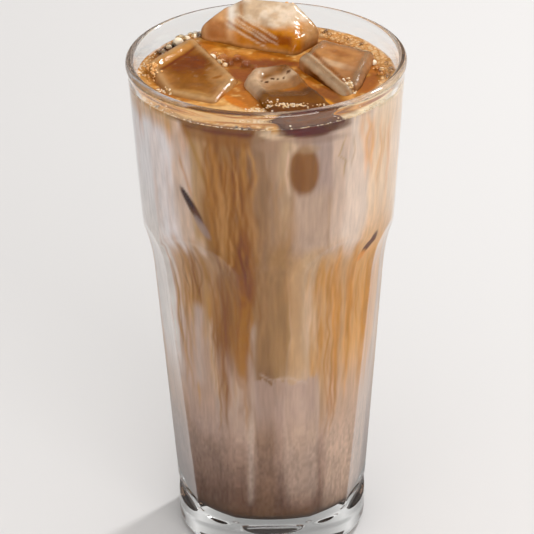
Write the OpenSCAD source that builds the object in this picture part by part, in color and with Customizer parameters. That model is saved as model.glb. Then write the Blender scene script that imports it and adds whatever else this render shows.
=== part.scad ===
// Iced latte in a tall pressed glass: a round, slightly flared upper band over a
// ten-sided lower body, filled to just under the rim, with four lumps of ice
// floating at the top. Millimetres, +Z up, origin at the centre of the base.

/* [Glass] */
// Outer diameter over the bead at the rim
rim_d = 84; // [70:1:101]
// Height of the glass
glass_h = 160; // [133:1:192]
// Thickness of the glass at the rim
rim_wall = 2.6; // [2:0.1:3.4]
// Height of the thickened bead under the rim
bead_h = 3.6; // [3:0.1:6]
// How far the bead stands proud of the wall below it
bead_proud = 0.4; // [0.1:0.1:0.8]
// Outer diameter of the round band where it meets the arches
shoulder_d = 77.5; // [74:0.5:84]
// Height of the tops of the arches
shoulder_h = 113; // [108:1:120]
// Thickness of the round band at the shoulder
shoulder_wall = 2.8; // [2:0.1:4]
// Radius of the curve that the inside wall widens along, from the flats up to the band
inside_curve_r = 40; // [30:1:60]
// Diameter of the foot
foot_d = 59.2; // [56:0.2:62]
// Height of the foot
foot_h = 10; // [8:0.5:14]
// Rounding of the foot's lower edge
foot_round = 3.5; // [1:0.5:5]
// Thickness of the clear glass under the drink
base_t = 12.5; // [9:0.5:18]

/* [Flats] */
// Diameter over the corners of the ten-sided body at its top
waist_d = 71; // [69:0.5:74]
// Height at which the flats begin to curve out into the arches
waist_h = 94; // [88:1:98]
// Diameter over the corners of the ten-sided body at its bottom
ankle_d = 59.6; // [57:0.2:62]
// Angle that each narrow-topped flat spans at the top
narrow_angle_top = 24.4; // [18:0.2:30]
// Angle that each narrow-topped flat spans at the bottom
narrow_angle_foot = 45; // [38:0.5:52]
// Radius of the curve that each flat runs out in at its top
run_out_r = 50; // [35:1:60]
// How much lower the wide-topped flats begin to curve out
wide_drop = 3; // [0:0.5:6]
// Radius of the hollow where a flat meets the foot
foot_hollow_r = 3; // [2:0.5:5]
// Least thickness of glass behind a flat
flat_wall = 2.2; // [1.6:0.1:3]
// Rounding where the inside wall meets the floor
floor_round = 4; // [2:0.5:7]

/* [Drink] */
// Distance from the rim down to the surface of the drink
headspace = 7; // [5:0.5:12]

/* [Ice] */
// Rounding of the ice's edges
ice_round = 2.2; // [1.5:0.1:3.5]
// How deep each lump reaches below its top corners
ice_depth = 24; // [16:1:28]
// How far each lump narrows towards its bottom, as a ratio
ice_taper = 0.88; // [0.75:0.01:1]
// Gap between a lump and the wall of the glass
ice_gap = 0.3; // [0.1:0.1:1]

/* [Hidden] */
$fn = 96;

pairs = 5;                                  // narrow and wide flats alternate, five of each
pitch = 360 / pairs;
half_pitch = pitch / 2;
ice_fn = 24;
arc_steps = 8;
tool_w = 60;                                // width of the tools that cut the flats
tool_t = 30;                                // thickness of the same tools
over = 20;                                  // how far clearing shapes reach past the part

rim_r = rim_d / 2;
bead_round = rim_wall / 2;
bead_mid_h = glass_h - bead_round;
band_top_r = rim_r - bead_proud;
band_slope = (band_top_r - shoulder_d / 2) / (bead_mid_h - shoulder_h);
corner_cover = 1.6;                         // how far the uncut blank stands outside the flats' corners
drink_h = glass_h - headspace;
foot_r = foot_d / 2;
step_top_h = foot_h + foot_hollow_r;        // top of the round foot behind the hollows

// Distance from the axis to the narrow and wide flats, at the waist and at the foot
narrow_top = waist_d / 2 * cos(narrow_angle_top / 2);
narrow_foot = ankle_d / 2 * cos(narrow_angle_foot / 2);
wide_top = waist_d / 2 * cos(half_pitch - narrow_angle_top / 2);
wide_foot = ankle_d / 2 * cos(half_pitch - narrow_angle_foot / 2);

// Inside of the glass
rim_in_r = rim_r - rim_wall;
shoulder_in_r = shoulder_d / 2 - shoulder_wall;
waist_in_r = min(narrow_top, wide_top) - flat_wall;
widening_h = 2 * sqrt(inside_curve_r * (shoulder_in_r - waist_in_r));
shoulder_in_h = waist_h + widening_h;
floor_r = min(narrow_foot, wide_foot) - flat_wall;
level_in_r = shoulder_in_r + (rim_in_r - shoulder_in_r) * (drink_h - shoulder_in_h) / (glass_h - shoulder_in_h);

// Corners of each lump of ice: share of the inside radius across, share of it
// from front to back, and height of the corner above the drink
ice_left_top = [[-0.41, -0.45, 0.5], [-0.27, -0.09, 1.5], [-0.59, 0.54, 3.5], [-0.88, 0.11, 3], [-0.73, -0.28, 0.5]];
ice_right_top = [[0.66, -0.25, 1.5], [0.79, 0.27, 3], [0.46, 0.41, 4.5], [0.31, 0.15, 4.5], [0.60, -0.33, 1.5]];
ice_back_top = [[0.21, 0.46, 4], [0.37, 0.66, 5.5], [0.21, 0.84, 10], [-0.15, 0.87, 11], [-0.29, 0.87, 8.5],
                [-0.46, 0.79, 4.5]];
ice_front_top = [[0.16, -0.91, 1], [0.50, -0.77, 1], [0.15, 0.03, 3], [-0.07, -0.01, 2.5], [-0.12, -0.16, 2]];

// How far the bottom of each lump lies from straight under its top, in x and y
ice_left_lean = [1, 0];
ice_right_lean = [0, 0];
ice_back_lean = [-1, -4];
ice_front_lean = [-1, 0];

function band_r(h) = shoulder_d / 2 + band_slope * (h - shoulder_h);

// Points of an arc about a centre, from one angle to another
function arc(centre, r, from, to) =
    [for (i = [0 : arc_steps]) centre + r * [cos(from + (to - from) * i / arc_steps),
                                             sin(from + (to - from) * i / arc_steps)]];

// Inside wall between the flats and the band: it curves out, then back in line
function widened(t) = t < 0.5 ? 2 * t * t : 1 - 2 * (1 - t) * (1 - t);
function widening_curve(gap) =
    [for (i = [0 : 2 * arc_steps])
        let (t = i / (2 * arc_steps))
        [waist_in_r + (shoulder_in_r - waist_in_r) * widened(t) - gap, waist_h + widening_h * t]];

// Outside of the round blank that the flats are cut from
module blank_outline() {
    polygon(concat(
        [[0, 0]],
        arc([foot_r - foot_round, foot_round], foot_round, -90, 0),
        [[foot_r, step_top_h], [ankle_d / 2 + corner_cover, step_top_h + foot_hollow_r],
         [shoulder_d / 2, shoulder_h], [band_r(glass_h - bead_h), glass_h - bead_h]],
        arc([rim_r - bead_round, bead_mid_h], bead_round, -20, 90),
        [[0, glass_h]]));
}

// Inside of the glass, shrunk by a gap and closed at a given height
module inside_outline(gap, top_h) {
    rim_slope = (rim_in_r - shoulder_in_r) / (glass_h - shoulder_in_h);
    top_r = rim_in_r + rim_slope * (top_h - glass_h) - gap;
    floor_h = base_t + gap;
    side_r = floor_r - gap;
    polygon(concat(
        [[0, floor_h]],
        arc([side_r - floor_round, floor_h + floor_round], floor_round, -90, 0),
        widening_curve(gap),
        [[top_r, top_h], [0, top_h]]));
}

// Tool that cuts one flat: a slab outside the flat, a large round where the flat
// runs out at its top and a small one where it meets the foot
module flat_tool(azimuth, foot_dist, top_dist, top_h) {
    lean = atan((top_dist - foot_dist) / (waist_h - foot_h));
    run_h = (top_h - foot_h) / cos(lean);
    rotate([0, 0, azimuth]) translate([foot_dist, 0, foot_h]) rotate([0, lean, 0]) {
        translate([0, -tool_w / 2, foot_hollow_r]) cube([tool_t, tool_w, run_h - foot_hollow_r]);
        translate([run_out_r, 0, run_h]) rotate([90, 0, 0])
            cylinder(h = tool_w, r = run_out_r, center = true, $fn = 180);
        translate([foot_hollow_r, 0, foot_hollow_r]) rotate([90, 0, 0])
            cylinder(h = tool_w, r = foot_hollow_r, center = true);
    }
}

// One lump of ice: rounded at every corner, narrower at the bottom, trimmed where
// it would touch the wall of the glass
module ice_lump(top, lean) {
    n = len(top);
    middle = [for (k = [0 : 1]) level_in_r * ([for (c = top) c[k]] * [for (c = top) 1]) / n];
    intersection() {
        hull() {
            for (c = top) {
                place = [level_in_r * c[0], level_in_r * c[1]];
                low = middle + lean + (place - middle) * ice_taper;
                translate([place[0], place[1], drink_h + c[2] - ice_round]) sphere(r = ice_round, $fn = ice_fn);
                translate([low[0], low[1], drink_h + c[2] - ice_depth]) sphere(r = ice_round, $fn = ice_fn);
            }
        }
        rotate_extrude() inside_outline(ice_gap, glass_h + over);
    }
}

module glass() {
    color("lightcyan", 0.35) difference() {
        rotate_extrude() blank_outline();
        rotate_extrude() inside_outline(0, glass_h + over);
        for (i = [0 : pairs - 1]) {
            flat_tool(i * pitch - 90, narrow_foot, narrow_top, waist_h);
            flat_tool(i * pitch + half_pitch - 90, wide_foot, wide_top, waist_h - wide_drop);
        }
    }
}

module latte() {
    color("tan") difference() {
        rotate_extrude() inside_outline(0, drink_h);
        ice_left();
        ice_right();
        ice_back();
        ice_front();
    }
}

module ice_left() { color("burlywood") ice_lump(ice_left_top, ice_left_lean); }

module ice_right() { color("burlywood") ice_lump(ice_right_top, ice_right_lean); }

module ice_back() { color("linen") ice_lump(ice_back_top, ice_back_lean); }

module ice_front() { color("peru") ice_lump(ice_front_top, ice_front_lean); }

glass();
latte();
ice_left();
ice_right();
ice_back();
ice_front();
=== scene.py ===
"""Looks of the iced latte: clear pressed glass, streaked milk and coffee, floating ice,
foam and bubbles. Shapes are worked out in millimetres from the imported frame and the
glass's own sizes, and turned into metres where the meshes are made."""
import math

import bmesh
import bpy
import numpy as np
from mathutils import Matrix, Vector


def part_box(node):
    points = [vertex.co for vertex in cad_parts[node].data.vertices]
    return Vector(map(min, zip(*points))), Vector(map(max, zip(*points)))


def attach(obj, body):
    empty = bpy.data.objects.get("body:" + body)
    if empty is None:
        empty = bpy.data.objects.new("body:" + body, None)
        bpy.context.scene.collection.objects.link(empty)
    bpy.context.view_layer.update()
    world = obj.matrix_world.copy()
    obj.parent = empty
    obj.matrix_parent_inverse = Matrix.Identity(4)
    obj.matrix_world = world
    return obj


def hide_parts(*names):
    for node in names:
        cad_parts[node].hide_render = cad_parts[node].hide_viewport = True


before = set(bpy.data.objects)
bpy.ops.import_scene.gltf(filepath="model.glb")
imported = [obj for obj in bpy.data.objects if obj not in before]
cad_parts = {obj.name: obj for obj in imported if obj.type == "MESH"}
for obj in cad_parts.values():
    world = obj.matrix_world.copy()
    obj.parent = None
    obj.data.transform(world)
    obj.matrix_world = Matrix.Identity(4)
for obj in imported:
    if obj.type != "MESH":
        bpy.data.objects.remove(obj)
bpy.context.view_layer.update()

MM = 0.001
BODY = "root"

# -------- sizes, in millimetres
glass_lo, glass_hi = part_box("glass")
latte_lo, latte_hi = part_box("latte")
GLASS_H = glass_hi.z / MM
RIM_R = (glass_hi.x - glass_lo.x) / 2 / MM
LEVEL = latte_hi.z / MM
BASE_T = latte_lo.z / MM

RIM_WALL = 2.6
RIM_ROUND = RIM_WALL / 2
BEAD_H = 3.6
BEAD_PROUD = 0.4
SHOULDER_R = 38.75
SHOULDER_H = 113.0
SHOULDER_IN_R = SHOULDER_R - 2.8
FOOT_R = 29.6
FOOT_H = 10.0
FOOT_ROUND = 3.5
FOOT_HOLLOW = 3.0
WAIST_R = 35.5
WAIST_H = 94.0
ANKLE_R = 29.8
NARROW_HALF_TOP = math.radians(12.2)
NARROW_HALF_FOOT = math.radians(22.5)
HALF_PITCH = math.radians(36)
RUN_OUT_R = 50.0
WIDE_DROP = 3.0
FLAT_WALL = 2.2
INSIDE_CURVE_R = 40.0
FLOOR_ROUND = 4.0
CORNER_COVER = 1.6

EDGE_SOFTNESS = 0.28       # rounding where two flats meet
ARCH_SOFTNESS = 0.25       # rounding where a flat runs out into the band
INTO_WALL = 0.12           # how far the drink reaches into the glass
AROUND = 360               # columns round the glass


# -------- small helpers
def column_azimuths(count=AROUND):
    """Angles from the side towards the viewer (-Y), turning towards +X."""
    return np.arange(count) * 2 * math.pi / count


def on_ring(radius, azimuth, height):
    return np.stack([radius * np.sin(azimuth), -radius * np.cos(azimuth),
                     np.broadcast_to(height, np.shape(radius * azimuth))], -1)


def smooth_min(a, b, softness):
    blend = np.maximum(softness - np.abs(a - b), 0) / softness
    return np.minimum(a, b) - blend * blend * softness / 4


def ease(t):
    t = np.clip(t, 0, 1)
    return t * t * (3 - 2 * t)


def bell(value, centre, width):
    return np.exp(-((value - centre) / width) ** 2)


def smoothed(values, reach):
    """Running mean along a list, with the ends held."""
    kernel = np.hanning(2 * reach + 3)[1:-1]
    kernel /= kernel.sum()
    padded = np.concatenate([np.full(reach, values[0]), values, np.full(reach, values[-1])])
    return np.convolve(padded, kernel, "valid")


def show(obj):
    bpy.context.scene.collection.objects.link(obj)


def make_object(name, verts_mm, faces, materials):
    mesh = bpy.data.meshes.new(name)
    mesh.from_pydata([tuple(v) for v in np.asarray(verts_mm) * MM], [], [tuple(f) for f in faces])
    mesh.validate()
    mesh.shade_smooth()
    obj = bpy.data.objects.new(name, mesh)
    show(obj)
    for material in materials:
        mesh.materials.append(material)
    return obj


def apply_modifiers(obj):
    """Replaces the object's mesh by its mesh with all modifiers applied."""
    graph = bpy.context.evaluated_depsgraph_get()
    mesh = bpy.data.meshes.new_from_object(obj.evaluated_get(graph))
    obj.modifiers.clear()
    old, obj.data = obj.data, mesh
    bpy.data.meshes.remove(old)


def vertices_mm(obj):
    co = np.zeros(len(obj.data.vertices) * 3)
    obj.data.vertices.foreach_get("co", co)
    return co.reshape(-1, 3) / MM


def set_vertices_mm(obj, co):
    obj.data.vertices.foreach_set("co", (np.asarray(co) * MM).ravel())
    obj.data.update()


def lathe(name, rows, materials):
    """Closed skin over rows of equal length round the axis, from a centre below to a centre
    above; each row is an array of points."""
    count = len(rows[0])
    verts = [rows[0].mean(0)]
    for row in rows:
        verts.extend(row)
    verts.append(rows[-1].mean(0))
    last = len(verts) - 1
    faces = []
    for i in range(count):
        j = (i + 1) % count
        faces.append((0, 1 + j, 1 + i))
        for k in range(len(rows) - 1):
            a = 1 + k * count
            faces.append((a + i, a + j, a + count + j, a + count + i))
        top = 1 + (len(rows) - 1) * count
        faces.append((top + i, top + j, last))
    return make_object(name, verts, faces, materials)


# -------- the glass's shape
def band_radius(z):
    slope = (RIM_R - BEAD_PROUD - SHOULDER_R) / (GLASS_H - RIM_ROUND - SHOULDER_H)
    return SHOULDER_R + slope * (z - SHOULDER_H)


def flat_distance(z, at_foot, at_waist, runs_out_at):
    """Distance of one kind of flat from the axis at each height."""
    slope = (at_waist - at_foot) / (WAIST_H - FOOT_H)
    dist = at_foot + slope * (z - FOOT_H)
    over = np.clip(z - runs_out_at, 0, RUN_OUT_R * 0.98)
    dist = dist + RUN_OUT_R - np.sqrt(RUN_OUT_R ** 2 - over ** 2)
    under = np.clip(FOOT_H + FOOT_HOLLOW - z, 0, FOOT_HOLLOW)
    dist = dist + FOOT_HOLLOW - np.sqrt(FOOT_HOLLOW ** 2 - under ** 2)
    return np.where(z < FOOT_H, 99.0, dist)


def outer_radius(blank, z, azimuth):
    """Radius of the glass's outside: the round blank cut by ten flats."""
    narrow = flat_distance(z, ANKLE_R * math.cos(NARROW_HALF_FOOT),
                           WAIST_R * math.cos(NARROW_HALF_TOP), WAIST_H)
    wide = flat_distance(z, ANKLE_R * math.cos(HALF_PITCH - NARROW_HALF_FOOT),
                         WAIST_R * math.cos(HALF_PITCH - NARROW_HALF_TOP), WAIST_H - WIDE_DROP)
    pitch = 2 * HALF_PITCH
    turn = (azimuth + HALF_PITCH) % pitch - HALF_PITCH
    from_wide = HALF_PITCH - np.abs(turn)
    flats = smooth_min(narrow / np.cos(turn), wide / np.cos(from_wide), EDGE_SOFTNESS)
    return smooth_min(blank, flats, ARCH_SOFTNESS)


def arc(centre_r, centre_z, radius, start, stop, steps):
    turn = np.radians(np.linspace(start, stop, steps))
    return np.stack([centre_r + radius * np.cos(turn), centre_z + radius * np.sin(turn)], 1)


def inside_wall():
    """Inside radius at heights from the floor's rounding to the rim, softened."""
    waist_in = WAIST_R * math.cos(HALF_PITCH - NARROW_HALF_TOP) - FLAT_WALL
    floor_r = ANKLE_R * math.cos(NARROW_HALF_FOOT) - FLAT_WALL
    widening = 2 * math.sqrt(INSIDE_CURVE_R * (SHOULDER_IN_R - waist_in))
    low = BASE_T + FLOOR_ROUND
    z = np.arange(low, GLASS_H - RIM_ROUND, 0.5)
    t = np.clip((z - WAIST_H) / widening, 0, 1)
    eased = np.where(t < 0.5, 2 * t * t, 1 - 2 * (1 - t) ** 2)
    below = floor_r + (waist_in - floor_r) * (z - low) / (WAIST_H - low)
    above = SHOULDER_IN_R + (RIM_R - RIM_WALL - SHOULDER_IN_R) * (z - WAIST_H - widening) / (
        GLASS_H - WAIST_H - widening)
    middle = waist_in + (SHOULDER_IN_R - waist_in) * eased
    radius = np.where(z < WAIST_H, below, np.where(z > WAIST_H + widening, above, middle))
    return z, smoothed(radius, 8)


INSIDE_Z, INSIDE_R = inside_wall()


def inside_radius(z):
    low = BASE_T + FLOOR_ROUND
    rounding = np.clip(low - z, 0, FLOOR_ROUND)
    drawn_in = FLOOR_ROUND - np.sqrt(FLOOR_ROUND ** 2 - rounding ** 2)
    return np.interp(z, INSIDE_Z, INSIDE_R) - drawn_in


def build_glass(material):
    azimuth = column_azimuths()
    foot = arc(FOOT_R - FOOT_ROUND, FOOT_ROUND, FOOT_ROUND, -90, 0, 10)
    rows = [on_ring(r, azimuth, 0.0) for r in np.linspace(3, FOOT_R - FOOT_ROUND - 0.5, 8)]
    rows += [on_ring(r, azimuth, z) for r, z in foot]
    heights = np.concatenate([
        np.linspace(FOOT_ROUND + 0.8, FOOT_H - 0.2, 8),
        np.arange(FOOT_H, FOOT_H + 5, 0.25),
        np.arange(FOOT_H + 5, WAIST_H - 6, 1.2),
        np.arange(WAIST_H - 6, SHOULDER_H + 6, 0.4),
        np.arange(SHOULDER_H + 6, GLASS_H - BEAD_H, 1.0)])
    step_top = FOOT_H + FOOT_HOLLOW
    for z in heights:
        lower = np.interp(z, [step_top, step_top + FOOT_HOLLOW, SHOULDER_H],
                          [FOOT_R, ANKLE_R + CORNER_COVER, SHOULDER_R])
        blank = lower if z < SHOULDER_H else band_radius(z)
        rows.append(on_ring(outer_radius(blank, z, azimuth), azimuth, z))
    bead_low = GLASS_H - BEAD_H
    for t in np.linspace(0, 1, 8):
        radius = band_radius(bead_low) + (RIM_R - band_radius(bead_low)) * ease(t)
        rows.append(on_ring(radius, azimuth, bead_low + t * (BEAD_H - RIM_ROUND)))
    rim = arc(RIM_R - RIM_ROUND, GLASS_H - RIM_ROUND, RIM_ROUND, 12, 180, 14)
    rows += [on_ring(r, azimuth, z) for r, z in rim]
    down = np.arange(GLASS_H - RIM_ROUND - 0.8, BASE_T + FLOOR_ROUND, -1.0)
    rows += [on_ring(inside_radius(z), azimuth, z) for z in down]
    flat_r = INSIDE_R[0] - FLOOR_ROUND
    corner = arc(flat_r, BASE_T + FLOOR_ROUND, FLOOR_ROUND, 0, -90, 10)
    rows += [on_ring(r, azimuth, z) for r, z in corner]
    rows += [on_ring(r, azimuth, BASE_T) for r in np.linspace(flat_r - 1.5, 2, 8)]
    return lathe("glass_clear", rows, [material])


# -------- the drink
class Noise:
    """Smooth seeded noise between -1 and 1, over arrays of points."""

    def __init__(self, seed, size=48):
        self.size = size
        self.grid = np.random.default_rng(seed).uniform(-1, 1, (size, size, size))

    def __call__(self, x, y, z=0.0):
        x, y, z = np.broadcast_arrays(x, y, z)
        base, frac = [], []
        for value in (x, y, z):
            whole = np.floor(value)
            part = value - whole
            base.append(whole.astype(int) % self.size)
            frac.append(part * part * (3 - 2 * part))
        total = np.zeros(np.shape(x))
        for i in (0, 1):
            for j in (0, 1):
                for k in (0, 1):
                    corner = self.grid[(base[0] + i) % self.size, (base[1] + j) % self.size,
                                       (base[2] + k) % self.size]
                    weight = (frac[0] if i else 1 - frac[0]) * (frac[1] if j else 1 - frac[1])
                    total += corner * weight * (frac[2] if k else 1 - frac[2])
        return total

    def layered(self, x, y, z=0.0, octaves=3):
        total, size = 0, 1.0
        for octave in range(octaves):
            total = total + size * self(x / size + 7.3 * octave, y / size, z / size)
            size *= 0.5
        return total / 1.75


DRINK_AROUND = 540         # columns round the drink
MENISCUS = 0.9             # how far the surface climbs at the wall
swell = Noise(11)


def surface_height(x, y):
    """Height of the drink's surface over its level: a climb at the wall and a faint swell."""
    radius = np.hypot(x, y)
    to_wall = np.maximum(inside_radius(LEVEL) - radius, 0)
    return MENISCUS * np.exp(-to_wall / 1.3) + 0.22 * swell.layered(x / 7, y / 7)


def build_drink(material):
    azimuth = column_azimuths(DRINK_AROUND)
    floor_z = BASE_T - INTO_WALL
    low_r = INSIDE_R[0]
    rows = [on_ring(r, azimuth, floor_z) for r in np.linspace(2, low_r - FLOOR_ROUND - 0.8, 8)]
    for r, z in arc(low_r - FLOOR_ROUND, BASE_T + FLOOR_ROUND, FLOOR_ROUND + INTO_WALL, -90, 0, 9):
        rows.append(on_ring(r, azimuth, z))
    for z in np.arange(BASE_T + FLOOR_ROUND + 0.7, LEVEL, 0.7):
        rows.append(on_ring(inside_radius(z) + INTO_WALL, azimuth, z))
    edge = inside_radius(LEVEL) + INTO_WALL
    near_edge = edge + 0.02 - np.array([0, 0.25, 0.6, 1.0])
    for r in np.concatenate([near_edge, np.arange(edge - 1.5, 1.0, -0.6)]):
        ring = on_ring(r, azimuth, LEVEL)
        ring[:, 2] += surface_height(ring[:, 0], ring[:, 1])
        rows.append(ring)
    return lathe("latte_drink", rows, [material])


# -------- painting by position
def linear(hex_colour):
    """Colour written as RRGGBB to the renderer's linear values."""
    values = np.array([int(hex_colour[i:i + 2], 16) for i in (0, 2, 4)]) / 255
    return np.where(values < 0.04045, values / 12.92, ((values + 0.055) / 1.055) ** 2.4)


def between(value, low, high, soft):
    """1 from low to high, easing to 0 over the soft stretch outside either end."""
    return ease((value - low) / soft + 1) * ease((high - value) / soft + 1)


class Paint:
    """Colours laid over one another on a set of points."""

    def __init__(self, count, base):
        self.rgb = np.tile(linear(base), (count, 1))

    def lay(self, colour, mask):
        self.rgb += (linear(colour) - self.rgb) * np.clip(mask, 0, 1)[:, None]

    def lay_at(self, chosen, colour, mask):
        self.rgb[chosen] += (linear(colour) - self.rgb[chosen]) * np.clip(mask, 0, 1)[:, None]

    def shade(self, factor):
        self.rgb *= np.asarray(factor)[:, None]


HAZE = 0.030               # light that the glass itself adds in front of the drink
WALL_LIGHT = 0.78          # share of the light that comes back from a white wall of drink
TOP_HAZE = 0.025           # and what a wet surface mirrors
TOP_LIGHT = 1.0            # the same for what lies open on top


def behind_glass(rgb):
    """Tint that shows as the wanted colour through the glass."""
    return (rgb - HAZE) / WALL_LIGHT


def in_the_open(rgb):
    """Tint that shows as the wanted colour on a wet surface on top."""
    return (rgb - TOP_HAZE) / TOP_LIGHT


def store_colour(obj, name, rgb):
    values = np.concatenate([np.clip(rgb, 0, 1), np.ones((len(rgb), 1))], 1)
    layer = obj.data.attributes.new(name, "FLOAT_COLOR", "POINT")
    layer.data.foreach_set("color", values.ravel())


def store_value(obj, name, values):
    layer = obj.data.attributes.new(name, "FLOAT", "POINT")
    layer.data.foreach_set("value", np.asarray(values, float))


# -------- colours of the drink's side
DEGREE = 0.6               # millimetres along the wall in one degree, about
warp = Noise(21)
marble = Noise(22)
grain = Noise(23)


class Wall:
    """Azimuth in degrees (0 towards the viewer, + to the right) and height of wall points, with the
    shapes that streaks and patches of milk and coffee take there, and a streak of painted highlight."""

    def __init__(self, azimuth, z):
        self.a = azimuth
        self.z = z
        self.paint = Paint(len(z), "a98b74")
        self.lay = self.paint.lay
        self.waver = 3.0 * warp.layered(azimuth / 9, z / 22) + 1.2 * warp(azimuth / 3, z / 9, 5)
        self.sway = 3.5 * warp.layered(azimuth / 12, z / 16, 9)

    def field(self, colour, a_low, a_high, z_low, z_high, a_soft=6, z_soft=8, strength=1.0):
        mask = between(self.a + self.waver, a_low, a_high, a_soft)
        mask = mask * between(self.z + self.sway, z_low, z_high, z_soft)
        self.lay(colour, strength * mask)

    def streak(self, colour, points, width, strength=1.0, wobble=0.4, phase=0.0, fade=5.0):
        """A streak that runs mostly down: points are (azimuth, height), width in mm."""
        points = sorted(points, key=lambda p: p[1])
        turns, heights = [p[0] for p in points], [p[1] for p in points]
        margin = 3 * width / DEGREE + 2 * wobble / DEGREE
        near = np.flatnonzero((self.a > min(turns) - margin) & (self.a < max(turns) + margin)
                              & (self.z > heights[0] - fade) & (self.z < heights[-1] + fade))
        a, z = self.a[near], self.z[near]
        steps = np.linspace(heights[0] - fade, heights[-1] + fade, 60)
        drift = wobble / DEGREE * warp.layered(steps / 10, phase, 3)
        centre = np.interp(z, heights, turns) + np.interp(z, steps, drift)
        off = (a - centre) * DEGREE / width
        ends = between(z, heights[0] + fade / 2, heights[-1] - fade / 2, fade)
        self.paint.lay_at(near, colour, strength * np.exp(-off * off) * ends)

    def seam(self, colour, points, width, strength=1.0, fade=3.0):
        """A line that runs mostly round the wall: points are (azimuth, height), width in mm."""
        points = sorted(points)
        turns = [p[0] for p in points]
        centre = np.interp(self.a, turns, [p[1] for p in points])
        off = (self.z - centre - 0.5 * warp.layered(self.a / 5, 2.0, 7)) / width
        ends = between(self.a, turns[0] + fade, turns[-1] - fade, fade)
        self.lay(colour, strength * np.exp(-off * off) * ends)

    def spot(self, colour, a, z, half_a, half_z, lean=0.0, strength=1.0, soft=0.35, rough=0.12):
        """A patch with its half sizes in mm, leaning by degrees from upright."""
        across = (self.a - a) * DEGREE
        up = self.z - z
        c, s = math.cos(math.radians(lean)), math.sin(math.radians(lean))
        along, over = up * c + across * s, across * c - up * s
        reach = np.hypot(over / half_a, along / half_z)
        reach = reach + rough * warp.layered(self.a / 4, self.z / 4, 11)
        self.lay(colour, strength * ease((1 + soft / 2 - reach) / soft))

    def streaks(self, seed, colours, a_low, a_high, z_top, z_low, count, widths, strength, lean=0.0):
        """A bundle of uneven streaks hanging in one stretch of the wall."""
        draw = np.random.default_rng(seed)
        for i in range(count):
            a = draw.uniform(a_low, a_high)
            top = z_top - draw.uniform(0, 0.35) * (z_top - z_low)
            foot = z_low + draw.uniform(0, 0.7) * (top - z_low)
            slant = (lean + draw.normal(0, 1.2)) * (top - foot) / 30
            width = draw.uniform(*widths)
            self.streak(colours[i % len(colours)], [(a, top), (a + slant, foot)], width,
                        strength * draw.uniform(0.35, 1.0), 1.7, 5.0 * i + seed, 12.0)


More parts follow.
